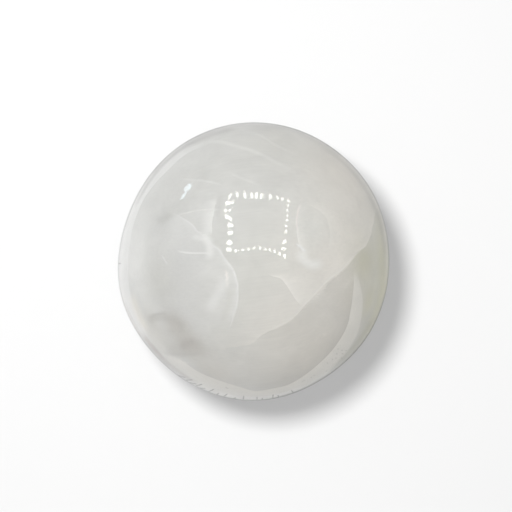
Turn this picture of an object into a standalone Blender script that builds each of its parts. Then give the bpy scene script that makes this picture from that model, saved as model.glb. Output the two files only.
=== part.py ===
# Polished selenite sphere, about 60 mm across, hand ground and a little out of round.
# It is one piece of stone and stands on a small flat that is ground under it.
# Lengths are in metres and angles in degrees. +Z is up and the flat is at z = 0.
# +X and +Y are the right and the top of the stone as it is seen from straight above.

import math

import bmesh
import bpy
from mathutils import Vector

MEAN_RADIUS = 0.0300
SEAT_DIAMETER = 0.0140

# Grinding left the stone longer along Y than along X. This is what each half gains or loses.
LONG_SIDE_GAIN = 0.00048

# Broad areas that are lower (minus) or fuller (plus) than that form:
# bearing from +X towards +Y, height above the waist, depth in metres, and how far it spreads.
GROUND_AREAS = (
    (30.0, 0.0, 0.00022, 20.0),
    (155.0, 0.0, -0.00020, 20.0),
    (193.0, 0.0, 0.00066, 22.0),
    (262.0, 0.0, 0.00015, 20.0),
    (301.0, 0.0, -0.00044, 22.0),
    (40.0, 58.0, -0.00030, 32.0),
    (205.0, 47.0, 0.00018, 26.0),
    (75.0, -42.0, -0.00035, 30.0),
    (238.0, -46.0, -0.00028, 27.0),
)

# The surface is in rings from the top down to the rim of the flat, about 5200 triangles in all.
FACES_AROUND = 72
RINGS_DOWN = 36

STONE_COLOUR = (0.63, 0.62, 0.59, 1.0)
STONE_ROUGHNESS = 0.08
STONE_REFRACTIVE_INDEX = 1.525
STONE_CLARITY = 0.3


def clear_scene():
    for thing in list(bpy.data.objects):
        bpy.data.objects.remove(thing, do_unlink=True)


def direction_to(bearing, height):
    turn = math.radians(bearing)
    rise = math.radians(height)
    return Vector((math.cos(turn) * math.cos(rise), math.sin(turn) * math.cos(rise), math.sin(rise)))


def ground_radius(direction):
    # Distance from the middle of the stone to its surface along a unit direction.
    radius = MEAN_RADIUS + LONG_SIDE_GAIN * (direction.y**2 - direction.x**2)
    for bearing, height, depth, spread in GROUND_AREAS:
        away = math.degrees(direction.angle(direction_to(bearing, height)))
        radius += depth * math.exp(-((away / spread) ** 2))
    return radius


def stone_surface():
    # Rings of points from the top to the rim of the flat, which closes the stone underneath.
    seat_radius = SEAT_DIAMETER / 2
    lowest = ground_radius(Vector((0.0, 0.0, -1.0)))
    seat_depth = math.sqrt(lowest**2 - seat_radius**2)
    seat_angle = 90.0 + math.degrees(math.atan2(seat_depth, seat_radius))
    shell = bmesh.new()
    top = shell.verts.new((0.0, 0.0, ground_radius(Vector((0.0, 0.0, 1.0)))))
    rings = []
    for down in range(1, RINGS_DOWN + 1):
        height = 90.0 - seat_angle * down / RINGS_DOWN
        ring = []
        for around in range(FACES_AROUND):
            direction = direction_to(360.0 * around / FACES_AROUND, height)
            point = direction * ground_radius(direction)
            if down == RINGS_DOWN:
                turn = math.radians(360.0 * around / FACES_AROUND)
                point = Vector((seat_radius * math.cos(turn), seat_radius * math.sin(turn), -seat_depth))
            ring.append(shell.verts.new(point))
        rings.append(ring)
    for around in range(FACES_AROUND):
        after = (around + 1) % FACES_AROUND
        shell.faces.new((top, rings[0][around], rings[0][after]))
        for upper, lower in zip(rings, rings[1:]):
            shell.faces.new((upper[around], lower[around], lower[after], upper[after]))
    shell.faces.new(list(reversed(rings[-1])))
    return shell


def stand_on_origin(shell):
    # Puts the flat on z = 0, with the middle of the stone's box over the origin.
    low = Vector(min(point.co[axis] for point in shell.verts) for axis in range(3))
    high = Vector(max(point.co[axis] for point in shell.verts) for axis in range(3))
    middle = (low + high) / 2
    bmesh.ops.translate(shell, verts=shell.verts[:], vec=(-middle.x, -middle.y, -low.z))


def polished_selenite():
    material = bpy.data.materials.new("polished_selenite")
    material.use_nodes = True
    shader = material.node_tree.nodes["Principled BSDF"]
    shader.inputs["Base Color"].default_value = STONE_COLOUR
    shader.inputs["Roughness"].default_value = STONE_ROUGHNESS
    shader.inputs["IOR"].default_value = STONE_REFRACTIVE_INDEX
    shader.inputs["Transmission Weight"].default_value = STONE_CLARITY
    return material


def selenite_sphere():
    shell = stone_surface()
    stand_on_origin(shell)
    bmesh.ops.recalc_face_normals(shell, faces=shell.faces[:])
    mesh = bpy.data.meshes.new("selenite_sphere")
    shell.to_mesh(mesh)
    shell.free()
    mesh.shade_smooth()
    mesh.set_sharp_from_angle(angle=math.radians(10.0))
    mesh.materials.append(polished_selenite())
    stone = bpy.data.objects.new("selenite_sphere", mesh)
    bpy.context.scene.collection.objects.link(stone)
    return stone


clear_scene()
selenite_sphere()
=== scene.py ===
import math

import bmesh
import bpy
from mathutils import Matrix, Vector, noise
from mathutils.bvhtree import BVHTree
from mathutils.interpolate import poly_3d_calc


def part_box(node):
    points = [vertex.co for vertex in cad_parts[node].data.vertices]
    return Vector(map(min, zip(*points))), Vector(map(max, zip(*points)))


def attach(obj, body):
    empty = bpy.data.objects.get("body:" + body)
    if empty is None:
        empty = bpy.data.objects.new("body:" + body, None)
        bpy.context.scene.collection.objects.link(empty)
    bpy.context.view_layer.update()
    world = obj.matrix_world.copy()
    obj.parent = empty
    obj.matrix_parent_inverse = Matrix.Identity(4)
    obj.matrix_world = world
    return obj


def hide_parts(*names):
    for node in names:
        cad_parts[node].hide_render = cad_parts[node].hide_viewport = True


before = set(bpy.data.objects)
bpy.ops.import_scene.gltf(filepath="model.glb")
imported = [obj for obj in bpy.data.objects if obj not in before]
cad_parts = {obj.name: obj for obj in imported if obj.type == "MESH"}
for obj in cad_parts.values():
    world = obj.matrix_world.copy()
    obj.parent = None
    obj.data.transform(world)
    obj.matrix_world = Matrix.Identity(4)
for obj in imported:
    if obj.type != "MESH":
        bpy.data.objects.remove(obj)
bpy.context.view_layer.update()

# Polished selenite sphere, 60 mm across, seen from straight above.
# Units are metres. +X is the right and +Y the top of the picture, and the floor is z = 0.

mm = 0.001

# The ground form of the stone, as the solid has it. Bearings run from +X towards +Y.
stone = {
    "meanRadius": 30.0 * mm,
    "seatDiameter": 14.0 * mm,  # the small flat that it stands on
    "longSideGain": 0.48 * mm,  # longer along Y than along X by this much each way
    # bearing, height above the waist, depth, spread (degrees)
    "groundAreas": (
        (30.0, 0.0, 0.22 * mm, 20.0),
        (155.0, 0.0, -0.20 * mm, 20.0),
        (193.0, 0.0, 0.66 * mm, 22.0),
        (262.0, 0.0, 0.15 * mm, 20.0),
        (301.0, 0.0, -0.44 * mm, 22.0),
        (40.0, 58.0, -0.30 * mm, 32.0),
        (205.0, 47.0, 0.18 * mm, 26.0),
        (75.0, -42.0, -0.35 * mm, 30.0),
        (238.0, -46.0, -0.28 * mm, 27.0),
    ),
    "polishWaves": 0.012 * mm,  # height of the slow waves that hand polishing left
    "waveLength": 14.0 * mm,
    "polishedOff": 0.03 * mm,  # keeps the fine surface inside the solid's flat faces
    "around": 288,  # faces around and from top to flat
    "down": 150,
    "rimAngle": 8.0,  # edges sharper than this stay crisp, which is the rim of the flat
}


def directionTo(bearing, height):
    turn, rise = math.radians(bearing), math.radians(height)
    return Vector((math.cos(turn) * math.cos(rise), math.sin(turn) * math.cos(rise), math.sin(rise)))


def groundRadius(direction):
    # distance from the stone's middle to its ground surface
    radius = stone["meanRadius"] + stone["longSideGain"] * (direction.y**2 - direction.x**2)
    for bearing, height, depth, spread in stone["groundAreas"]:
        away = math.degrees(direction.angle(directionTo(bearing, height)))
        radius += depth * math.exp(-((away / spread) ** 2))
    return radius


def linearColour(hexCode, alpha=1.0):
    # sRGB hex to the linear colour that shaders take
    values = [int(hexCode[i : i + 2], 16) / 255 for i in (1, 3, 5)]
    return tuple(v / 12.92 if v <= 0.04045 else ((v + 0.055) / 1.055) ** 2.4 for v in values) + (alpha,)


def addNode(tree, kind, links=None, settings=None, **properties):
    # one node: links is {input: output socket}, settings is {input: value}
    node = tree.nodes.new(kind)
    for name, value in properties.items():
        setattr(node, name, value)
    for name, value in (settings or {}).items():
        node.inputs[name].default_value = value
    for name, source in (links or {}).items():
        tree.links.new(source, node.inputs[name])
    return node


def newMaterial(name):
    material = bpy.data.materials.new(name)
    material.use_nodes = True
    return material, material.node_tree, material.node_tree.nodes["Principled BSDF"]


# Camera: straight above the stone, 400 mm from its middle.
camera = {
    "height": 400.0 * mm,
    "imagePixels": 512,
    "stonePixels": 137.3,  # mean radius of the stone's outline in the picture
    "outlineMiddle": (254.5, 261.5),  # where the outline's middle is, in pixels
    "outlineOffset": (0.2 * mm, 0.0),  # the same point on the stone
    "sensorWidth": 36.0,
    "clip": (0.01, 10.0),
}
halfImage = camera["imagePixels"] / 2
pixelSlope = math.tan(math.asin(stone["meanRadius"] / camera["height"])) / camera["stonePixels"]


def makeCamera():
    lens = bpy.data.cameras.new("cameraAbove")
    lens.sensor_width = camera["sensorWidth"]
    lens.lens = lens.sensor_width / 2 / (pixelSlope * halfImage)
    lens.clip_start, lens.clip_end = camera["clip"]
    # moved sideways until the stone's middle falls on its pixel
    perPixel = camera["height"] * pixelSlope
    x = camera["outlineOffset"][0] - (camera["outlineMiddle"][0] - halfImage) * perPixel
    y = camera["outlineOffset"][1] + (camera["outlineMiddle"][1] - halfImage) * perPixel
    holder = bpy.data.objects.new("cameraAbove", lens)
    holder.location = (x, y, stone["meanRadius"] + camera["height"])
    bpy.context.scene.collection.objects.link(holder)
    bpy.context.scene.camera = holder
    return {
        "eye": holder.location.copy(), "right": Vector((1, 0, 0)), "up": Vector((0, 1, 0)),
        "middle": Vector(camera["outlineMiddle"]),
    }


# Light: a soft key from the upper left and a white surround.
light = {
    "surroundColour": "#ffffff",
    "surroundStrength": 1.0,
    "surroundOnSheet": 0.47,  # what the sheet and the skin get of it
    # shares of the surround: from the bright and the dim side, and from below and above
    "dimSide": (0.94, 0.34, 0.0),
    "sideShares": (1.12, 0.88),
    "heightShares": (0.84, 1.08),
    "mirroredStrength": 0.6,  # the polish mirrors the surround as dimmer
    "sheetSize": 1.5,
    "sheetGrey": 0.312,
    "sheetRoughness": 0.9,
    "sheetGlow": 1.0,  # the sheet is lit from below too, so its shadows are light
    # and where the polish mirrors the sheet it takes other greys, a painted reflection: at two places along
    # X, and darker beside the stone as painted shade
    "mirroredSheet": ((-50.0 * mm, 0.37), (10.0 * mm, 0.21)),
    "mirroredRing": ((38.0 * mm, 0.6), (44.0 * mm, 1.0)),
    "keyTowards": (-0.145, 0.154, 1.0),
    "keyDistance": 410.0 * mm,
    "keySize": 69.0 * mm,
    "keyPower": 3.33,
    "keyColour": "#ffffff",
}


def addLamp(name, shape, size, power, colour, location, rotation):
    lamp = bpy.data.lights.new(name, "AREA")
    lamp.shape = shape
    lamp.size, lamp.size_y = size
    lamp.energy = power
    lamp.color = linearColour(colour)[:3]
    holder = bpy.data.objects.new(name, lamp)
    holder.location = location
    holder.rotation_mode = "QUATERNION"
    holder.rotation_quaternion = rotation
    holder.visible_camera = False
    bpy.context.scene.collection.objects.link(holder)
    return holder


def onlyMirrored(tree):
    # 1 for what the polish mirrors, 0 for what is seen directly or through it
    path = addNode(tree, "ShaderNodeLightPath")
    mirroredRay = addNode(tree, "ShaderNodeMath", {0: path.outputs["Is Glossy Ray"],
                                                   1: path.outputs["Is Transmission Ray"]},
                          operation="SUBTRACT", use_clamp=True)
    return mirroredRay.outputs["Value"]


def makeLight():
    world = bpy.data.worlds.new("studio")
    bpy.context.scene.world = world
    world.use_nodes = True
    world.cycles.sampling_method = "NONE"  # nearly even, so there is nothing in it to aim at
    tree = world.node_tree
    background = tree.nodes["Background"]
    background.inputs["Color"].default_value = linearColour(light["surroundColour"])
    path = addNode(tree, "ShaderNodeLightPath")
    direct = addNode(tree, "ShaderNodeMix", {"Factor": path.outputs["Is Diffuse Ray"]},
                     {"A": light["surroundStrength"], "B": light["surroundOnSheet"]})
    strength = addNode(tree, "ShaderNodeMix", {"Factor": onlyMirrored(tree), "A": direct.outputs["Result"]},
                       {"B": light["mirroredStrength"]})
    where = addNode(tree, "ShaderNodeTexCoord")
    value = strength.outputs["Result"]
    upwards = (0.0, 0.0, 1.0)
    for direction, shares in ((light["dimSide"], light["sideShares"]), (upwards, light["heightShares"])):
        towards = addNode(tree, "ShaderNodeVectorMath", {0: where.outputs["Generated"]}, {1: direction},
                          operation="DOT_PRODUCT")
        share = addNode(tree, "ShaderNodeMapRange", {"Value": towards.outputs["Value"]},
                        {"From Min": -1.0, "From Max": 1.0, "To Min": shares[0], "To Max": shares[1]})
        scaled = addNode(tree, "ShaderNodeMath", {0: value, 1: share.outputs["Result"]}, operation="MULTIPLY")
        value = scaled.outputs["Value"]
    tree.links.new(value, background.inputs["Strength"])
    towards = Vector(light["keyTowards"]).normalized()
    place = Vector((0, 0, stone["meanRadius"])) + towards * light["keyDistance"]
    size = (light["keySize"], light["keySize"])
    turned = towards.to_track_quat("Z", "Y")
    key = addLamp("softKey", "DISK", size, light["keyPower"], light["keyColour"], place, turned)
    # it lights the paper and the stone's skin; the inside is lit by the surround
    key.visible_glossy = False
    key.visible_transmission = False


def makeFloor():
    # a plain pale sheet under the stone
    form = bmesh.new()
    bmesh.ops.create_grid(form, x_segments=1, y_segments=1, size=light["sheetSize"])
    mesh = bpy.data.meshes.new("floor")
    form.to_mesh(mesh)
    form.free()
    floor = bpy.data.objects.new("floor", mesh)
    material, tree, shader = newMaterial("paleCardSweep")
    where = addNode(tree, "ShaderNodeTexCoord")
    across = addNode(tree, "ShaderNodeSeparateXYZ", {0: where.outputs["Object"]})
    away = addNode(tree, "ShaderNodeVectorMath", {0: where.outputs["Object"]}, operation="LENGTH")
    shares = []
    for place, (start, end) in ((across.outputs["X"], light["mirroredSheet"]),
                                (away.outputs["Value"], light["mirroredRing"])):
        share = addNode(tree, "ShaderNodeMapRange", {"Value": place},
                        {"From Min": start[0], "From Max": end[0], "To Min": start[1], "To Max": end[1]})
        shares.append(share.outputs["Result"])
    # painted reflection: greys that only the polish sees, with painted shade beside the stone
    mirroredGrey = addNode(tree, "ShaderNodeMath", {0: shares[0], 1: shares[1]}, operation="MULTIPLY")
    grey = addNode(tree, "ShaderNodeMix", {"Factor": onlyMirrored(tree), "B": mirroredGrey.outputs["Value"]},
                   {"A": light["sheetGrey"]})
    tree.links.new(grey.outputs["Result"], shader.inputs["Base Color"])
    tree.links.new(grey.outputs["Result"], shader.inputs["Emission Color"])
    shader.inputs["Emission Strength"].default_value = light["sheetGlow"]
    shader.inputs["Roughness"].default_value = light["sheetRoughness"]
    mesh.materials.append(material)
    bpy.context.scene.collection.objects.link(floor)


def ringForm(radiusAt, around, down, seatRadius, seatDepth):
    # rings of quads from the top, closed by a flat under the last ring
    form = bmesh.new()
    seatAngle = 90.0 + math.degrees(math.atan2(seatDepth, seatRadius))
    top = form.verts.new((0, 0, radiusAt(Vector((0, 0, 1)))))
    rings = []
    for ringDown in range(1, down + 1):
        height = 90.0 - seatAngle * ringDown / down
        ring = []
        for step in range(around):
            direction = directionTo(360.0 * step / around, height)
            point = direction * radiusAt(direction)
            if ringDown == down:
                flat = Vector((direction.x, direction.y, 0)).normalized() * seatRadius
                point = Vector((flat.x, flat.y, -seatDepth))
            ring.append(form.verts.new(point))
        rings.append(ring)
    for step in range(around):
        after = (step + 1) % around
        form.faces.new((top, rings[0][step], rings[0][after]))
        for upper, lower in zip(rings, rings[1:]):
            form.faces.new((upper[step], lower[step], lower[after], upper[after]))
    form.faces.new(list(reversed(rings[-1])))
    bmesh.ops.recalc_face_normals(form, faces=form.faces[:])
    return form


def finishPiece(form, name, material, sharpAngle=None):
    mesh = bpy.data.meshes.new(name)
    form.to_mesh(mesh)
    form.free()
    mesh.shade_smooth()
    if sharpAngle:
        mesh.set_sharp_from_angle(angle=math.radians(sharpAngle))
    mesh.materials.append(material)
    piece = bpy.data.objects.new(name, mesh)
    bpy.context.scene.collection.objects.link(piece)
    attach(piece, "root")
    return piece


def skinRadius(direction):
    # the ground surface with the slow waves of the polish, just inside the solid's flat faces
    radius = groundRadius(direction) - stone["polishedOff"]
    wave = noise.noise(direction * radius / stone["waveLength"])
    return radius - stone["polishWaves"] * (0.5 + 0.5 * wave)


def makeStone():
    seatRadius = stone["seatDiameter"] / 2
    seatDepth = math.sqrt(groundRadius(Vector((0, 0, -1))) ** 2 - seatRadius**2)
    form = ringForm(skinRadius, stone["around"], stone["down"], seatRadius, seatDepth)
    low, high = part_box("selenite_sphere")
    ownLow = Vector(min(v.co[i] for v in form.verts) for i in range(3))
    ownHigh = Vector(max(v.co[i] for v in form.verts) for i in range(3))
    shift = (low + high - ownLow - ownHigh) / 2
    shift.z = low.z - ownLow.z
    bmesh.ops.translate(form, verts=form.verts[:], vec=shift)
    surface = BVHTree.FromBMesh(form)
    piece = finishPiece(form, "selenite_stone", polishedSelenite(), sharpAngle=stone["rimAngle"])
    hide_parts("selenite_sphere")
    return surface, shift


# Selenite, clear gypsum, ground round and hand polished. The eye gets crisp reflections on a skin that
# is nearly clear, bent as gypsum bends light, and what is seen through it lies millimetres deep.
polish = {
    "clearColour": "#fefefc",
    "roughness": 0.065,
    "ior": 1.525,
    "clarity": 0.9,
}


def polishedSelenite():
    material, tree, shader = newMaterial("polishedSelenite")
    shader.inputs["Base Color"].default_value = linearColour(polish["clearColour"])
    shader.inputs["Roughness"].default_value = polish["roughness"]
    shader.inputs["IOR"].default_value = polish["ior"]
    shader.inputs["Transmission Weight"].default_value = polish["clarity"]
    return material


def sideView(bearing, height):
    # the same look at the stone from another side, for the veils there
    towards = directionTo(bearing, height)
    right = Vector((0, 0, 1)).cross(towards).normalized()
    return {
        "eye": stoneMiddle + towards * camera["height"], "right": right, "up": towards.cross(right),
        "middle": Vector((halfImage, halfImage)),
    }


# Where something inside the stone has to lie to be seen at a pixel: a ray from the eye is bent at the
# polish and followed for the depth.
sight = {
    "slopeStep": 0.01,  # the skin's slope is read this far to each side, as a share of its radius
    "flattest": -0.02,  # a ray has to meet the skin at least this steeply
    "drawnIn": 0.997,  # a pixel outside the outline comes in by this much at a time
    "attempts": 60,
}


def raySeen(view, pixel):
    x = (pixel[0] - halfImage) * pixelSlope
    y = (halfImage - pixel[1]) * pixelSlope
    return (view["right"] * x + view["up"] * y - view["right"].cross(view["up"])).normalized()


def smoothNormal(direction):
    # the skin's own slope, from its radius a little to each side
    step = sight["slopeStep"]
    radius = skinRadius(direction)
    side = direction.orthogonal().normalized()
    normal = direction.copy()
    for tangent in (side, direction.cross(side)):
        beside = (direction + tangent * step).normalized()
        normal -= tangent * (skinRadius(beside) - radius) / (radius * step)
    return normal.normalized()


def skinHit(view, pixel):
    # where the ray meets the polish; a pixel just outside the outline is drawn in until it does
    middle = view["middle"]
    pixel = Vector(pixel)
    for attempt in range(sight["attempts"]):
        ray = raySeen(view, pixel)
        hit, normal, face, far = skin.ray_cast(view["eye"], ray)
        if hit is not None:
            normal = smoothNormal((hit - stoneMiddle).normalized())
            if ray.dot(normal) < sight["flattest"]:
                return hit, normal, ray
        pixel = middle + (pixel - middle) * sight["drawnIn"]
    raise ValueError("a point of a veil is far outside the stone")


def bentRay(view, pixel):
    hit, normal, ray = skinHit(view, pixel)
    ratio = 1.0 / polish["ior"]
    cosine = -ray.dot(normal)
    return hit, ray * ratio + normal * (ratio * cosine - math.sqrt(1.0 - ratio**2 * (1.0 - cosine**2)))


def pointInside(view, pixel, depth):
    hit, bent = bentRay(view, pixel)
    return hit + bent * depth


def mirrored(view, pixel):
    # the direction in which the polish mirrors the eye's ray at this pixel
    hit, normal, ray = skinHit(view, pixel)
    return hit, ray - normal * 2 * ray.dot(normal)


# The polish mirrors a square frame of small lamps, and two more low down. Each is placed from where its
# reflection lies in the picture: pixel, width and height in pixels, and lean in degrees.
lampRows = {
    "frameLamp": {
        "distance": 250.0 * mm,
        "brightness": 13.0,
        "colour": "#fffff8",
        "lamps": (
            (230.0, 195.5, 2.3, 6.0, 12), (237.1, 194.4, 2.2, 6.0, -8), (245.0, 194.8, 2.2, 6.2, -8),
            (251.7, 195.5, 2.3, 7.2, -5), (256.6, 195.5, 2.3, 6.8, 4), (261.4, 195.8, 2.3, 6.8, 12),
            (270.1, 196.4, 2.4, 5.4, 10), (277.4, 197.2, 2.2, 4.4, -35), (282.5, 198.5, 2.2, 2.2, 0),
            (288.5, 201.0, 3.8, 2.2, -40), (288.0, 205.5, 3.2, 1.8, 0), (287.8, 210.4, 3.0, 2.0, -25),
            (287.8, 215.3, 2.3, 1.6, 0), (286.9, 220.2, 3.0, 2.0, 0), (286.2, 225.9, 3.2, 2.4, -25),
            (285.9, 231.4, 3.4, 2.4, 10), (284.6, 241.6, 5.6, 2.8, 30), (283.6, 248.6, 5.0, 2.4, 0),
            (284.2, 256.1, 2.6, 4.2, 0), (279.6, 254.1, 2.2, 3.6, -10), (274.7, 251.5, 2.0, 4.4, -32),
            (269.8, 249.7, 2.0, 3.0, -35), (265.6, 249.5, 2.0, 3.0, -25), (260.1, 247.8, 2.2, 2.6, 0),
            (254.3, 248.0, 2.1, 2.5, 0), (248.6, 248.9, 2.3, 2.6, 0), (242.3, 250.3, 2.6, 2.5, 15),
            (235.6, 250.9, 2.4, 3.0, -35), (228.7, 249.7, 5.4, 4.2, 0), (229.4, 242.6, 5.8, 5.2, 0),
            (230.2, 232.5, 5.6, 4.2, 0), (230.0, 225.1, 6.4, 3.6, -15), (226.8, 216.4, 2.3, 5.4, -35),
            (230.2, 218.4, 2.3, 4.8, -35), (225.6, 210.7, 3.2, 2.8, 0), (230.0, 209.6, 2.0, 3.0, 8),
            (226.8, 203.0, 2.0, 4.6, -6), (229.5, 203.0, 2.0, 4.8, -6), (232.5, 202.1, 2.0, 4.4, -6),
        ),
    },
    "lowLamp": {
        "distance": 300.0 * mm,
        "brightness": 5.0,
        "colour": "#e2f4ff",
        "lamps": ((187.8, 187.6, 6.2, 6.4, 0), (183.6, 195.6, 4.6, 9.0, 35)),
    },
}


def makeLampRow(name, row):
    # all lamps of a row lie in one plane that faces the stone
    facing = Vector((0, 0, 0))
    for x, y, wide, tall, lean in row["lamps"]:
        facing += mirrored(above, (x, y))[1]
    facing.normalize()
    centre = stoneMiddle + facing * row["distance"]

    def inPlane(x, y):
        hit, ray = mirrored(above, (x, y))
        return hit + ray * ((centre - hit).dot(facing) / ray.dot(facing))

    for index, (x, y, wide, tall, lean) in enumerate(row["lamps"]):
        turn = math.radians(lean)
        across = (math.cos(turn) * wide / 2, -math.sin(turn) * wide / 2)
        along = (math.sin(turn) * tall / 2, -math.cos(turn) * tall / 2)
        broad = inPlane(x + across[0], y + across[1]) - inPlane(x - across[0], y - across[1])
        high = inPlane(x + along[0], y + along[1]) - inPlane(x - along[0], y - along[1])
        # the longer way keeps its lean
        axisX = high.normalized().cross(facing) if high.length > broad.length else broad.normalized()
        axisY = facing.cross(axisX)
        turned = Matrix((axisX, axisY, facing)).transposed().to_quaternion()
        size = (broad.length, high.length)
        power = row["brightness"] * math.pi * size[0] * size[1]
        lamp = addLamp("%s%02d" % (name, index), "ELLIPSE", size, power, row["colour"], inPlane(x, y), turned)
        lamp.visible_diffuse = False
        lamp.visible_transmission = False


# What lies inside is laid down from the deepest layer up. Each layer keeps its colour, and the place that
# its grain is drawn from, so a veil can fade into what is behind it.
layers = []


def addInnerMarks(form):
    form.verts.layers.float_color.new("innerColour")
    form.verts.layers.float_vector.new("grainPlace")
    return form


def innerMarks(form):
    return form.verts.layers.float_color["innerColour"], form.verts.layers.float_vector["grainPlace"]


def keepLayer(form):
    tint, grain = innerMarks(form)
    form.verts.index_update()
    points = [v.co.copy() for v in form.verts]
    faces = [[v.index for v in f.verts] for f in form.faces]
    layers.append({
        "tree": BVHTree.FromPolygons(points, faces), "points": points, "faces": faces,
        "colours": [Vector(v[tint]) for v in form.verts], "grains": [Vector(v[grain]) for v in form.verts],
    })


def layerBehind(view, pixel, count):
    # the first of the layers so far that shows at this pixel: its point, colour and grain
    hit, bent = bentRay(view, pixel)
    best = None
    for layer in layers[:count]:
        point, normal, face, far = layer["tree"].ray_cast(hit, bent)
        if point is not None and (best is None or far < best[0]):
            best = (far, point, face, layer)
    far, point, face, layer = best
    corners = layer["faces"][face]
    shares = poly_3d_calc([layer["points"][c] for c in corners], point)
    colour, grain = Vector((0, 0, 0, 0)), Vector((0, 0, 0))
    for corner, share in zip(corners, shares):
        colour += layer["colours"][corner] * share
        grain += layer["grains"][corner] * share
    return point, bent, colour, grain


curveSteps = 12  # between two of the points that a curve is given by


def evenCurve(points, count):
    # a smooth curve through the points, as count points at even spacing
    points = [Vector(p) for p in points]
    ends = [points[0] * 2 - points[1]] + points + [points[-1] * 2 - points[-2]]
    fine = []
    for a, b, c, d in zip(ends, ends[1:], ends[2:], ends[3:]):
        for step in range(curveSteps):
            t = step / curveSteps
            bend, turn = 2 * a - 5 * b + 4 * c - d, 3 * b - a - 3 * c + d
            fine.append(b + (c - a) * (t / 2) + bend * (t**2 / 2) + turn * (t**3 / 2))
    fine.append(points[-1])
    reach = [0.0]
    for a, b in zip(fine, fine[1:]):
        reach.append(reach[-1] + (b - a).length)
    curve, place = [], 0
    for index in range(count):
        wanted = reach[-1] * index / (count - 1)
        while place < len(fine) - 2 and reach[place + 1] < wanted:
            place += 1
        span = reach[place + 1] - reach[place]
        curve.append(fine[place].lerp(fine[place + 1], min(1.0, (wanted - reach[place]) / span)))
    return curve


def eased(share):
    # from 0 to 1 with a soft start and end
    return share * share * (3 - 2 * share)


def shifted(points, right, down):
    return [(x + right, y + down) for x, y in points]


def widened(points, sideways):
    # the same line moved to its own left (minus) or right (plus), as one walks along it
    curve = [Vector(p) for p in points]
    moved = []
    for index, point in enumerate(curve):
        along = curve[min(index + 1, len(curve) - 1)] - curve[max(index - 1, 0)]
        moved.append(point + Vector((-along.y, along.x)).normalized() * sideways)
    return moved


# Milky gypsum: the clouded mass that fills the stone under its clear skin.
milky = {
    "skinDepth": 2.9 * mm,
    "unevenness": 0.7 * mm,
    "lumpSize": 18.0 * mm,
    "colour": "#dfdfdd",
    # places where the clear skin is deeper: pixel, extra depth, spread in mm
    "clearPockets": (
        ((392.0, 262.0), 3.0 * mm, 10.0 * mm),
        ((374.0, 330.0), 1.8 * mm, 9.0 * mm),
    ),
    # soft clouds in it, some of them painted light or painted shade where marked: pixel, spread, colour,
    # strength
    "clouds": {
        # painted light: the left side and its rim made lighter, as light falls from the left
        "left_painted_light": ((140.0, 262.0), 9.0 * mm, "#fbfbfa", 0.9),
        "left_rim_painted_light": ((120.0, 258.0), 7.0 * mm, "#ffffff", 1.0),
        "lower_left_cream": ((128.0, 322.0), 5.0 * mm, "#fffcf6", 0.9),
        "cream_above_rim": ((157.0, 336.0), 5.0 * mm, "#e6e3dc", 0.7),
        "lobe_body": ((185.0, 290.0), 8.0 * mm, "#dad9e1", 0.6),
        "middle_shade": ((230.0, 303.0), 12.0 * mm, "#d2d3cf", 0.8),
        "lobe_left_shade": ((160.0, 281.0), 6.0 * mm, "#d2d2cc", 0.7),
        "lobe_tip_shade": ((162.0, 222.0), 4.0 * mm, "#d0d1cf", 0.5),
        "low_left_shade": ((213.0, 373.0), 5.0 * mm, "#c9c5be", 0.8),
        # painted shade: the lower left rim made darker
        "low_left_rim_painted_shade": ((159.0, 359.0), 3.5 * mm, "#b4b0a9", 0.9),
        "centre_shade": ((258.0, 272.0), 12.0 * mm, "#d2d2cc", 0.7),
        "below_v_shade": ((280.0, 326.0), 5.0 * mm, "#cdcbc4", 0.6),
        "lobe_top_glow": ((200.0, 212.0), 4.0 * mm, "#eeeeee", 0.4),
        "edge_shade": ((347.0, 298.0), 3.5 * mm, "#c5c0b4", 0.7),
        "low_warmth": ((310.0, 342.0), 14.0 * mm, "#e2ddd5", 0.9),
        "upper_right_warmth": ((345.0, 175.0), 12.0 * mm, "#efe9e1", 0.8),
        "top_glow": ((285.0, 140.0), 7.0 * mm, "#ecebe6", 0.5),
        "eye_warmth": ((332.0, 250.0), 9.0 * mm, "#f4eee6", 0.8),
        "eye_grey": ((314.0, 230.0), 4.5 * mm, "#dee1de", 0.6),
        "smudge_ground_left": ((150.0, 320.0), 2.2 * mm, "#cfccc5", 0.5),
        "smudge_ground_middle": ((176.0, 326.0), 2.8 * mm, "#ccc8c1", 0.7),
        "smudge_ground_right": ((189.0, 344.0), 3.2 * mm, "#cac5bd", 0.75),
        # the greenish zone on the right: its own tint, with painted shade for the dark seen through the clear
        # stone there
        "green_inner": ((364.0, 262.0), 4.5 * mm, "#cfcdb4", 0.85),
        "green_upper": ((383.0, 256.0), 6.5 * mm, "#dbd9bf", 1.0),
        "green_middle": ((384.0, 295.0), 5.5 * mm, "#dcd8b0", 1.0),
        "green_between": ((369.0, 301.0), 3.5 * mm, "#d6d2ae", 0.5),
        "green_low": ((371.0, 330.0), 6.0 * mm, "#c0bc90", 1.0),
        "green_top": ((381.0, 222.0), 3.5 * mm, "#c2c0ac", 0.7),
        # painted shade: the rim made darker
        "rim_low_right": ((354.0, 356.0), 5.0 * mm, "#b0ad99", 0.9),
        "rim_right": ((376.0, 190.0), 4.0 * mm, "#cdc9bd", 0.7),
        "rim_upper_right": ((330.0, 146.0), 4.0 * mm, "#d3cfc5", 0.6),
        "rim_top": ((262.0, 125.0), 4.5 * mm, "#cdcbc5", 0.35),
        "rim_upper_left": ((197.0, 135.0), 4.5 * mm, "#a9a7a4", 1.0),
        "rim_left_high": ((156.0, 165.0), 3.0 * mm, "#b0aeac", 0.9),
    },
    "fibreLength": 16.0 * mm,
    "fibreWidth": 0.45 * mm,  # real fibres are about a third of this; drawn coarser to show
    "fibreLean": -7.0,  # degrees from level
    "fibreContrast": 0.05,
    "cloudSize": 7.0 * mm,
    "cloudContrast": 0.10,
    "noiseRange": (0.3, 0.7),  # what counts as the darkest and the lightest of the grain
    "roughness": 0.5,
    "around": 216,
    "down": 108,
}


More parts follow.
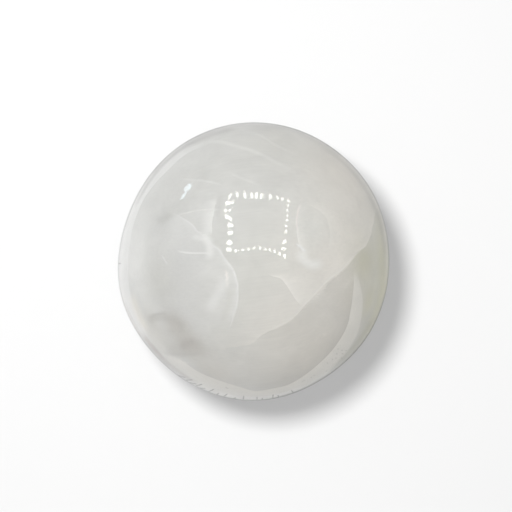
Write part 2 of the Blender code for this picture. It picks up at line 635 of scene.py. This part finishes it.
def makeMilkyMass():
    pockets = [(pointInside(above, p, milky["skinDepth"]) - stoneMiddle, extra, spread)
               for p, extra, spread in milky["clearPockets"]]

    def massRadius(direction):
        radius = groundRadius(direction) - milky["skinDepth"]
        point = direction * radius
        for place, extra, spread in pockets:
            radius -= extra * math.exp(-((point - place).length / spread) ** 2)
        return radius - milky["unevenness"] * (0.5 + noise.noise(point / milky["lumpSize"]))

    lowest = massRadius(Vector((0, 0, -1)))
    seatRadius = stone["seatDiameter"] / 2
    seatDepth = math.sqrt(lowest**2 - seatRadius**2)
    form = ringForm(massRadius, milky["around"], milky["down"], seatRadius, seatDepth)
    bmesh.ops.translate(form, verts=form.verts[:], vec=stoneMiddle)
    massTree = BVHTree.FromBMesh(form)
    clouds = []
    for pixel, spread, colour, strength in milky["clouds"].values():
        hit, bent = bentRay(above, pixel)
        clouds.append((massTree.ray_cast(hit, bent)[0], spread, Vector(linearColour(colour)), strength))
    tint, grain = innerMarks(addInnerMarks(form))
    for vert in form.verts:
        colour = Vector(linearColour(milky["colour"]))
        for place, spread, cloudColour, strength in clouds:
            colour = colour.lerp(cloudColour, strength * math.exp(-((vert.co - place).length / spread) ** 2))
        vert[tint] = colour
        vert[grain] = vert.co
    keepLayer(form)
    finishPiece(form, "milky_mass", gypsumInside)


def milkyGypsum():
    # the cloudy inner mass; its growth left fine fibres that run nearly level across the picture
    material, tree, shader = newMaterial("milkyGypsum")
    tint = addNode(tree, "ShaderNodeAttribute", attribute_name="innerColour")
    where = addNode(tree, "ShaderNodeAttribute", attribute_name="grainPlace")
    stretch = (1 / milky["fibreLength"], 1 / milky["fibreWidth"], 1 / milky["fibreWidth"])
    turn = (0, 0, math.radians(milky["fibreLean"]))
    turned = addNode(tree, "ShaderNodeMapping", {"Vector": where.outputs["Vector"]}, {"Rotation": turn})
    drawn = addNode(tree, "ShaderNodeMapping", {"Vector": turned.outputs["Vector"]}, {"Scale": stretch})
    fibre = {"Scale": 1.0, "Detail": 3.0, "Distortion": 0.4}
    cloud = {"Scale": 1 / milky["cloudSize"], "Detail": 3.0, "Distortion": 0.6}
    darkest, lightest = milky["noiseRange"]
    tones = []
    for place, pattern, contrast in ((drawn, fibre, milky["fibreContrast"]),
                                     (where, cloud, milky["cloudContrast"])):
        grain = addNode(tree, "ShaderNodeTexNoise", {"Vector": place.outputs["Vector"]}, pattern)
        tone = addNode(tree, "ShaderNodeMapRange", {"Value": grain.outputs["Fac"]},
                       {"From Min": darkest, "From Max": lightest,
                        "To Min": 1 - contrast / 2, "To Max": 1 + contrast / 2})
        tones.append(tone.outputs["Result"])
    tone = addNode(tree, "ShaderNodeMath", {0: tones[0], 1: tones[1]}, operation="MULTIPLY")
    toned = addNode(tree, "ShaderNodeVectorMath", {0: tint.outputs["Color"], "Scale": tone.outputs["Value"]},
                    operation="SCALE")
    tree.links.new(toned.outputs["Vector"], shader.inputs["Base Color"])
    shader.inputs["Roughness"].default_value = milky["roughness"]
    return material


# Veils: thin flakes of the mass that stand up into the clear skin. Most are cleavage that catches the light;
# others carry painted shade, painted glints and the painted light of the crescent along the rim. Each is a
# loft between rows, and a row is a curve in the picture's pixels, a lift, a cover and a linear colour.
def makeVeil(form, view, rows, along, endFade, between=5, jag=0.0, strengths=(1.0, 1.0)):
    tint, grain = innerMarks(form)
    curves = [evenCurve(row[0], along) for row in rows]
    lines = [(index, step / between) for index in range(len(rows) - 1) for step in range(between)]
    lines.append((len(rows) - 2, 1.0))
    behind = len(layers)
    grid = []
    for index, mix in lines:
        one, other = rows[index], rows[index + 1]
        lift = one[1] + (other[1] - one[1]) * mix
        cover = one[2] + (other[2] - one[2]) * mix
        colour = one[3].lerp(other[3], mix)
        inward = (index + mix) / (len(rows) - 1)
        row = []
        for place in range(along):
            pixel = curves[index][place].lerp(curves[index + 1][place], mix)
            away = noise.noise_vector(Vector((pixel.x, pixel.y, 0)) / veils["jagLength"])
            pixel = pixel + Vector((away.x, away.y)) * jag * (1.0 - inward)
            point, bent, colourBehind, grainBehind = layerBehind(view, pixel, behind)
            # a veil fades into what is behind it at its ends
            fade = eased(min(1.0, min(place, along - 1 - place) / (along - 1) / endFade))
            spot = place / (along - 1) * (len(strengths) - 1)
            first = min(int(spot), len(strengths) - 2)
            strength = strengths[first] + (strengths[first + 1] - strengths[first]) * (spot - first)
            vert = form.verts.new(point - bent * (lift * fade + veils["restLift"] * (1 - fade)) * mm)
            vert[tint] = colourBehind.lerp(colour, min(1.0, cover * fade * strength))
            vert[grain] = grainBehind
            row.append(vert)
        grid.append(row)
    for upper, lower in zip(grid, grid[1:]):
        for a, b, c, d in zip(upper, upper[1:], lower[1:], lower):
            form.faces.new((a, b, c, d))


veils = {
    "jagLength": 7.0,  # size of the small steps along a broken edge, in pixels
    "jagSeed": 4,  # where the steps are drawn from; with a seed they come out the same in each run
    "restLift": 0.012,  # where a flake has faded away it lies this far above what is behind, in mm
    # points along each kind, and the share of its length in which it fades at each end
    "fineness": {
        "rims": (160, 0.06), "ridges": (40, 0.3), "smudges": (40, 0.3), "rimBands": (70, 0.25),
        "nicks": (12, 0.2),
    },
    "ridgeSteps": 8,  # steps across a ridge, and along a band at the rim
    "bandSteps": 12,
    # flakes with one crisp edge, and how each fades from it: right, down, lift in mm, cover
    "flakes": {
        "main_shade": {
            "edge": ((370, 240), (366, 247), (354, 259), (343, 272), (330, 282), (320, 294), (311, 302),
                     (301, 313), (291, 322), (280, 327.5), (268, 332), (258, 338), (250, 343)),
            "rows": ((0, 0, 0.04, 0.42), (7, 8, 0.04, 0.22), (20, 22, 0.012, 0.0)),
            "colour": "#b8b3a8", "farColour": "#b8b3a8",
            "along": 90, "jag": 0.0, "endFade": 0.3, "strengths": (1, 1, 0.7, 0.6, 0.5),
        },
        "low_shade": {
            "edge": ((246, 391), (262, 391), (276, 389), (291, 385), (310, 373), (328, 357), (340, 342),
                     (348, 327), (352, 309), (354, 294), (355, 280)),
            "rows": ((0, 0, 0.04, 0.38), (-6, -6, 0.04, 0.22), (-22, -18, 0.012, 0.0)),
            "colour": "#aea89e", "farColour": "#b4aea4",
            "along": 90, "jag": 0.0, "endFade": 0.3, "strengths": (0.5, 0.8, 0.9, 1),
        },
        "main_cleavage": {
            "edge": ((378, 204), (375, 215), (374, 222), (372, 230), (369, 239), (366, 246), (363, 248),
                     (353, 258), (349, 264), (342, 271), (336, 276), (329, 281), (319, 293), (310, 301),
                     (300, 312), (290, 321), (279, 327), (267, 332), (258, 338), (250, 344), (225, 348),
                     (207, 350)),
            "rows": ((0, 0, 0.06, 0.85), (-3, -4, 0.06, 0.55), (-14, -19, 0.1, 0.28), (-34, -44, 0.08, 0.12),
                     (-60, -80, 0.012, 0.0)),
            "colour": "#f7f3ec", "farColour": "#f2ede6",
            "along": 150, "jag": 1.2, "endFade": 0.08, "strengths": (1, 1, 1, 1, 0.85, 0.7, 0.4, 0.15),
        },
        "left_lobe": {
            "edge": ((168, 211), (175, 213.5), (185, 219), (194, 225.5), (198, 231), (206, 236.5),
                     (212, 243.5), (219.5, 249), (223.5, 256.5), (229, 263.5), (233, 269), (236, 277),
                     (238, 287), (237, 305), (233, 318), (229, 332)),
            "rows": ((0, 0, 0.06, 0.7), (-3, 1, 0.06, 0.35), (-10, 3, 0.1, 0.25), (-28, 8, 0.08, 0.15),
                     (-50, 14, 0.012, 0.0)),
            "colour": "#fbfbfc", "farColour": "#e6e7eb",
            "along": 120, "jag": 0.8, "endFade": 0.15, "strengths": (1, 1),
        },
        "lower_v": {
            "edge": ((266, 273), (272, 276), (281, 279), (287, 286), (293, 296), (303, 308)),
            "rows": ((0, 0, 0.06, 0.75), (4, -1, 0.06, 0.5), (14, -3, 0.08, 0.35), (34, -8, 0.012, 0.0)),
            "colour": "#fdfaf5", "farColour": "#f5f1ea",
            "along": 60, "jag": 0.5, "endFade": 0.2, "strengths": (1, 1),
        },
        "eye_left": {
            "edge": ((301, 201), (298, 207), (296.5, 215), (296, 225), (297, 235), (299, 244), (303, 252),
                     (308, 261)),
            "rows": ((0, 0, 0.06, 0.8), (3, -0.5, 0.08, 0.5), (13, -3, 0.012, 0.0)),
            "colour": "#fdfbf8", "farColour": "#f2f1ed",
            "along": 60, "jag": 0.5, "endFade": 0.2, "strengths": (0.9, 0.8, 1, 1),
        },
        "eye_right": {
            "edge": ((304, 204), (315, 208), (322, 213), (327, 219), (330, 232), (329, 246), (325, 258)),
            "rows": ((0, 0, 0.06, 0.5), (5, -3, 0.1, 0.3), (20, -9, 0.012, 0.0)),
            "colour": "#f7f5ef", "farColour": "#f3eee6",
            "along": 60, "jag": 0.5, "endFade": 0.2, "strengths": (1, 1, 1, 0.5),
        },
        "stripe": {
            "edge": ((218, 196), (215.8, 203), (213.8, 212), (212.3, 222), (212.2, 230), (211, 238)),
            "rows": ((0, 0, 0.08, 0.95), (-4, 0, 0.1, 0.75), (-13, 1, 0.012, 0.0)),
            "colour": "#fbfbf9", "farColour": "#f5f5f5",
            "along": 50, "jag": 0.4, "endFade": 0.2, "strengths": (0.8, 1, 1, 1),
        },
    },
    # narrow bright ridges: lines in the mass, with painted glints (lobe_glint, lobe_spark, eye_spark) and
    # painted light along the crescent (cream_band, crescent_hook): points, width in pixels, lift in mm,
    # cover, colour
    "ridges": {
        "brow": (((177, 178), (192, 180), (206, 181), (225, 186)), 4.0, 0.1, 0.4, "#fbfbfb"),
        "upper_lobe_line": (((174, 216), (186, 213), (200, 210), (226, 209.3)), 3.0, 0.1, 0.5, "#fdfdfb"),
        "cream_band": (((130, 290), (138, 314), (150, 337)), 13.0, 0.05, 0.62, "#fffaf0"),
        "stripe_foot": (((202, 229), (207, 239), (209.5, 248), (209.5, 262)), 13.0, 0.1, 0.85, "#fefefd"),
        "lobe_glint": (((190, 236), (202, 239), (214, 243)), 9.0, 0.1, 0.5, "#fdfdfd"),
        "level_line": (((175, 250.5), (186, 252.6), (198, 253), (214, 253)), 3.4, 0.1, 0.75, "#ffffff"),
        "lobe_rim": (((209, 240), (212, 243.5), (219.5, 249), (223.5, 256.5), (229, 263.5), (233, 269),
                      (236, 277), (238, 287), (237, 305), (233, 318), (228, 333)), 3.2, 0.1, 0.7, "#fdfdfd"),
        "lobe_spark": (((225.5, 268), (227, 278), (226.5, 289)), 4.0, 0.15, 1.0, "#fffaf7"),
        "diagonal": (((228, 270), (222, 286), (214, 301), (205, 317)), 17.0, 0.1, 0.5, "#f8f8f8"),
        "scratch": (((161.5, 254.5), (164.5, 259.5), (168, 265)), 2.4, 0.1, 0.5, "#ffffff"),
        "crescent_hook": (((344.5, 291), (347, 284.5), (351.5, 279), (357.5, 276)),
                          7.0, 0.1, 0.16, "#f7f3ec"),
        "eye_spark": (((295.5, 243), (301.5, 248), (307.5, 253)), 3.4, 0.15, 1.0, "#ffffff"),
        "eye_blot": (((296, 247), (303, 258), (311, 264), (327, 264)), 18.0, 0.1, 0.78, "#fffffd"),
        "eye_arc": (((302, 202), (298.3, 210), (296.7, 219), (297, 227), (300, 236)),
                    3.0, 0.1, 0.9, "#fff9f6"),
        "top_arc_a": (((184, 151), (205, 143), (220, 142), (233, 145), (250, 150), (262, 155), (282, 165),
                       (297, 173)), 6.0, 0.1, 0.42, "#fafaf8"),
        "top_arc_b": (((240, 129), (248, 132), (262, 136), (276, 145), (296, 155)),
                      4.0, 0.1, 0.3, "#fafaf8"),
        "top_arc_c": (((226, 171), (236, 176), (248, 181), (262, 186)), 5.0, 0.1, 0.25, "#fafaf8"),
        "main_rim": (((371.2, 230.6), (365.2, 245.4), (352.4, 257.3), (341.4, 270.3), (328.4, 280.3),
                      (309.4, 300.3), (289.4, 320.2), (266.6, 331.2), (249.8, 343.2)),
                     2.4, 0.1, 0.6, "#fdfaf4"),
    },
    # soft darker strokes, given in the same way
    "smudges": {
        "left_shade": (((166, 205), (164.5, 217), (163, 229)), 14.0, 0.04, 0.2, "#c4c4c4"),
        "lobe_tip": (((154, 222), (165.5, 218), (175, 213)), 12.0, 0.04, 0.3, "#b6b6b3"),
        "stripe_side": (((222, 188), (219.5, 205), (218, 224)), 11.0, 0.04, 0.15, "#bcbab5"),
        "lobe_gap": (((231, 281), (230, 298), (225, 315), (220, 330)), 12.0, 0.04, 0.3, "#cdcdc6"),
        "smudge_ground": (((160, 314), (170, 322), (182, 334), (198, 356)), 38.0, 0.04, 0.22, "#bbb6ae"),
        "smudge_foot": (((150, 344), (172, 350), (196, 352), (226, 348)), 24.0, 0.04, 0.2, "#b9b4ac"),
        "arch": (((147, 318), (155.5, 314.7), (162, 313.4), (169.5, 313.4)), 5.0, 0.05, 0.45, "#a9a6a0"),
        "stroke_a": (((145, 320), (157, 317.5), (173, 317)), 14.0, 0.05, 0.45, "#b0ada6"),
        "stroke_b": (((165, 315), (176, 322), (188, 330)), 16.0, 0.05, 0.4, "#aeaaa4"),
        "stroke_c": (((166, 331), (181, 331), (196, 333)), 8.0, 0.05, 0.2, "#b6b2ab"),
        "stroke_d": (((164, 352), (187, 345.5), (210, 344.5)), 25.0, 0.05, 0.28, "#a49e98"),
        "stroke_core": (((178, 348), (188, 343), (197, 339)), 13.0, 0.05, 0.24, "#998f8c"),
        "stroke_e": (((160, 353), (184, 354.5), (208, 353.5)), 7.0, 0.05, 0.2, "#a8a29c"),
    },
    # painted light: the bright crescent that follows the rim, each between an inner and an outer curve
    "rims": {
        "rim_left": {
            "inner": ((208, 144.5), (191.5, 151), (180, 158.5), (167, 171), (155.5, 183), (144.5, 198),
                      (138, 212), (132.5, 228), (129.5, 246), (128, 262), (129.5, 290), (137, 315),
                      (150, 338)),
            "outer": ((206, 140), (190, 145), (177, 153.5), (163, 166), (150.5, 178.5), (140, 193.5),
                      (131.5, 210.5), (125.5, 227), (121, 245), (119.5, 262), (121, 290), (129, 317),
                      (147, 343)),
            "strengths": (0.15, 0.6, 0.85, 0.9, 0.9, 1.0, 1.0, 1.0, 1.0), "fade": 1.012, "colour": "#ffffff",
        },
        "rim_low": {
            "inner": ((157, 352), (180, 360), (197, 371), (215, 379), (240, 387), (256, 391), (275, 388),
                      (290, 384), (309, 372), (327, 356), (339, 341), (347, 326), (351, 308), (353, 293),
                      (354, 279), (353.5, 267)),
            "outer": ((160, 357), (176, 369), (195, 382), (215, 392), (240, 398), (258, 399), (277, 396),
                      (300, 388), (322, 376), (341, 358), (351, 344), (358, 330), (361.5, 312), (362, 298),
                      (359, 282), (356, 269)),
            "strengths": (0.6, 0.75, 0.75, 0.8, 0.85, 0.95, 1.0, 0.95, 0.7), "fade": 1.012,
            "colour": "#faf7f1",
        },
    },
    "rimLift": 0.06,
    "rimCovers": (0.9, 0.7),  # at the inner and at the outer curve
    "rimFree": (2.0, 1.2),  # how far inside the outline a rim's outer curve and its faded end stay, in pixels
    # what runs along the rim, painted shade and, in bottom_light, painted light: from and to bearing, inset
    # and width in pixels, cover, colour
    "rimBands": {
        "upper_left_dark": (96, 124, 5.2, 8.0, 0.38, "#8f8d8a"),
        "upper_left_line": (110, 158, 3.9, 5.4, 0.5, "#8b8987"),
        "lower_left_line": (194, 240, 2.9, 3.2, 0.3, "#857f78"),
        "lower_left_dark": (210, 248, 4.4, 6.2, 0.5, "#857f78"),
        "lower_left_brown": (213, 228, 4.6, 5.0, 0.3, "#a8917e"),
        "bottom_light": (250, 292, 3.4, 4.2, 0.5, "#ffffff"),
        "lower_right_dark": (302, 338, 4.9, 7.0, 0.22, "#85815f"),
        "upper_right_dark": (-10, 62, 4.8, 7.0, 0.3, "#918e87"),
    },
    # fine dark partings at the lower rim: bearing, length in pixels, lean in degrees along the rim
    "nicks": (
        (236, 2.5, 3.5), (239.6, 4.5, 3), (241.2, 2.5, 3.8), (244.5, 5, 2.6), (246.2, 2, 2.9),
        (250.4, 5, 2.2), (253.9, 2.5, 1.1), (257, 4, 1.5), (261.4, 2, 0.8), (265.3, 4.5, 0.2),
        (271, 3.6, 0.1), (272.9, 1.8, 0.6), (277.6, 4.0, 0.4), (280.3, 2.6, -0.5), (286.7, 3.2, -0.8),
        (181, 2.5, -0.3),
    ),
    # dark specks in the lower right parting, in pixels
    "specks": (
        (338.1, 349.0), (341.9, 350.3), (346.2, 350.6), (342.5, 353.8), (336.9, 353.8), (336.0, 358.1),
        (332.5, 359.4), (341.8, 358.0), (327.5, 363.1), (326.3, 371.2), (314.4, 375.3), (311.3, 377.4),
        (302.5, 381.3), (304.5, 380.3), (227.5, 388.3), (226.2, 387.6),
    ),
    "speckLength": 2.0,
    "speckCover": 0.27,
    "nickInset": 1.0,  # how far inside the outline a nick starts, in pixels
    "nickWidth": 1.8,
    "nickCover": 0.9,
    "nickColour": "#66625c",
}


def rimPoint(bearing, inset):
    # a pixel that lies this many pixels inside the stone's outline
    radius = groundRadius(directionTo(bearing, 0)) / stone["meanRadius"] * camera["stonePixels"] - inset
    turn = math.radians(bearing)
    return Vector((math.cos(turn), -math.sin(turn))) * radius + Vector(camera["outlineMiddle"])


def heldInside(point, inset):
    # the same pixel, drawn in where it lies nearer to the stone's outline than this
    middle = Vector(camera["outlineMiddle"])
    away = Vector(point) - middle
    bearing = math.degrees(math.atan2(-away.y, away.x))
    return middle + away * min(1.0, (rimPoint(bearing, inset) - middle).length / away.length)


def turnedPoints(points, turn, size):
    # the points turned and scaled about the middle of the picture of the stone
    angle = math.radians(turn)
    turned = []
    for point in points:
        x, y = Vector(point) - Vector(camera["outlineMiddle"])
        turned.append((halfImage + size * (x * math.cos(angle) - y * math.sin(angle)),
                       halfImage + size * (x * math.sin(angle) + y * math.cos(angle))))
    return turned


def flakeRows(flake):
    # the rows of a flake, from its crisp edge inwards
    near, far = Vector(linearColour(flake["colour"])), Vector(linearColour(flake["farColour"]))
    rows = []
    for index, (right, down, lift, cover) in enumerate(flake["rows"]):
        colour = near.lerp(far, index / (len(flake["rows"]) - 1))
        rows.append((shifted(flake["edge"], right, down), lift, cover, colour))
    return rows


def ridgeRows(points, width, lift, cover, hexCode):
    # a low ridge: it rises from what is behind, shows most on its line, and falls again
    colour = Vector(linearColour(hexCode))
    rows = []
    steps = veils["ridgeSteps"]
    for step in range(steps + 1):
        side = step / steps - 0.5
        height = eased(1 - 2 * abs(side))
        rows.append((widened(points, width * side), lift * height + veils["restLift"] * (1 - height),
                     cover * height, colour))
    return rows


def keepVeil(form, name):
    keepLayer(form)
    finishPiece(form, name, gypsumInside)


def makeFlake(name, view, flake, rows):
    form = addInnerMarks(bmesh.new())
    makeVeil(form, view, rows, flake["along"], flake["endFade"], jag=flake["jag"],
             strengths=flake["strengths"])
    keepVeil(form, name)


def makeLines(name, lines, fineness):
    # many lines in one piece; each is kept at once, so the next one can lie on it
    along, endFade = fineness
    form = addInnerMarks(bmesh.new())
    known = len(layers)
    for rows in lines:
        makeVeil(form, above, rows, along, endFade, between=1)
        del layers[known:]
        keepLayer(form)
    finishPiece(form, name, gypsumInside)


def makeVeils():
    for name, flake in veils["flakes"].items():
        makeFlake(name, above, flake, flakeRows(flake))
    middle = Vector(camera["outlineMiddle"])
    for name, rim in veils["rims"].items():
        outer = [heldInside(point, veils["rimFree"][0]) for point in rim["outer"]]
        faded = [heldInside(middle + (point - middle) * rim["fade"], veils["rimFree"][1]) for point in outer]
        colour = Vector(linearColour(rim["colour"]))
        covers = veils["rimCovers"]
        rows = ((rim["inner"], veils["rimLift"], covers[0], colour),
                (outer, veils["rimLift"], covers[1], colour), (faded, veils["restLift"], 0.0, colour))
        form = addInnerMarks(bmesh.new())
        makeVeil(form, above, rows, *veils["fineness"]["rims"], between=4, strengths=rim["strengths"])
        keepVeil(form, name)
    for group, name in (("ridges", "bright_lines_and_painted_glints"), ("smudges", "grey_smudges")):
        makeLines(name, [ridgeRows(*line) for line in veils[group].values()], veils["fineness"][group])


def makeRimMarks():
    bands, steps = [], veils["bandSteps"]
    for start, end, inset, width, cover, hexCode in veils["rimBands"].values():
        points = [rimPoint(start + (end - start) * step / steps, inset) for step in range(steps + 1)]
        bands.append(ridgeRows(points, width, veils["rimLift"], cover, hexCode))
    makeLines("rim_painted_shade_and_light", bands, veils["fineness"]["rimBands"])
    marks = []
    for bearing, length, lean in veils["nicks"]:
        points = [rimPoint(bearing + lean * part, veils["nickInset"] + length * part) for part in (0, 0.5, 1)]
        marks.append((points, veils["nickCover"]))
    for x, y in veils["specks"]:
        points = [(x + veils["speckLength"] * part, y) for part in (-0.5, 0, 0.5)]
        marks.append((points, veils["speckCover"]))
    rows = [ridgeRows(points, veils["nickWidth"], veils["rimLift"], cover, veils["nickColour"])
            for points, cover in marks]
    makeLines("rim_nicks", rows, veils["fineness"]["nicks"])


# The same kinds of veil, turned and in other places, on the sides that the photograph doesn't show.
sideVeils = {
    # which flake from above, the bearing and height it is seen from, how far it is turned, its size
    "side_cleavage_a": ("main_cleavage", 10.0, -18.0, 30.0, 0.75),
    "side_cleavage_b": ("main_cleavage", 135.0, -20.0, 205.0, 0.7),
    "side_cleavage_c": ("main_cleavage", 262.0, -16.0, 160.0, 0.7),
    "side_lobe_a": ("left_lobe", 75.0, -15.0, 100.0, 0.8),
    "side_lobe_b": ("left_lobe", 200.0, -20.0, 250.0, 0.85),
    "side_lobe_c": ("left_lobe", 316.0, -28.0, 60.0, 0.76),
}


def makeSideVeils():
    for name, (model, bearing, height, turn, size) in sideVeils.items():
        flake = veils["flakes"][model]
        rows = [(turnedPoints(points, turn, size), lift, cover, colour)
                for points, lift, cover, colour in flakeRows(flake)]
        makeFlake(name, sideView(bearing, height), flake, rows)


scene = bpy.context.scene
scene.view_settings.view_transform = "Standard"
above = makeCamera()
makeLight()
makeFloor()
print("camera, light and sheet made")
skin, stoneMiddle = makeStone()
print("stone made")
for name, row in lampRows.items():
    makeLampRow(name, row)
print("mirrored lamps made")
gypsumInside = milkyGypsum()
makeMilkyMass()
print("milky mass made")
noise.seed_set(veils["jagSeed"])
makeVeils()
makeSideVeils()
makeRimMarks()
print("veils made")
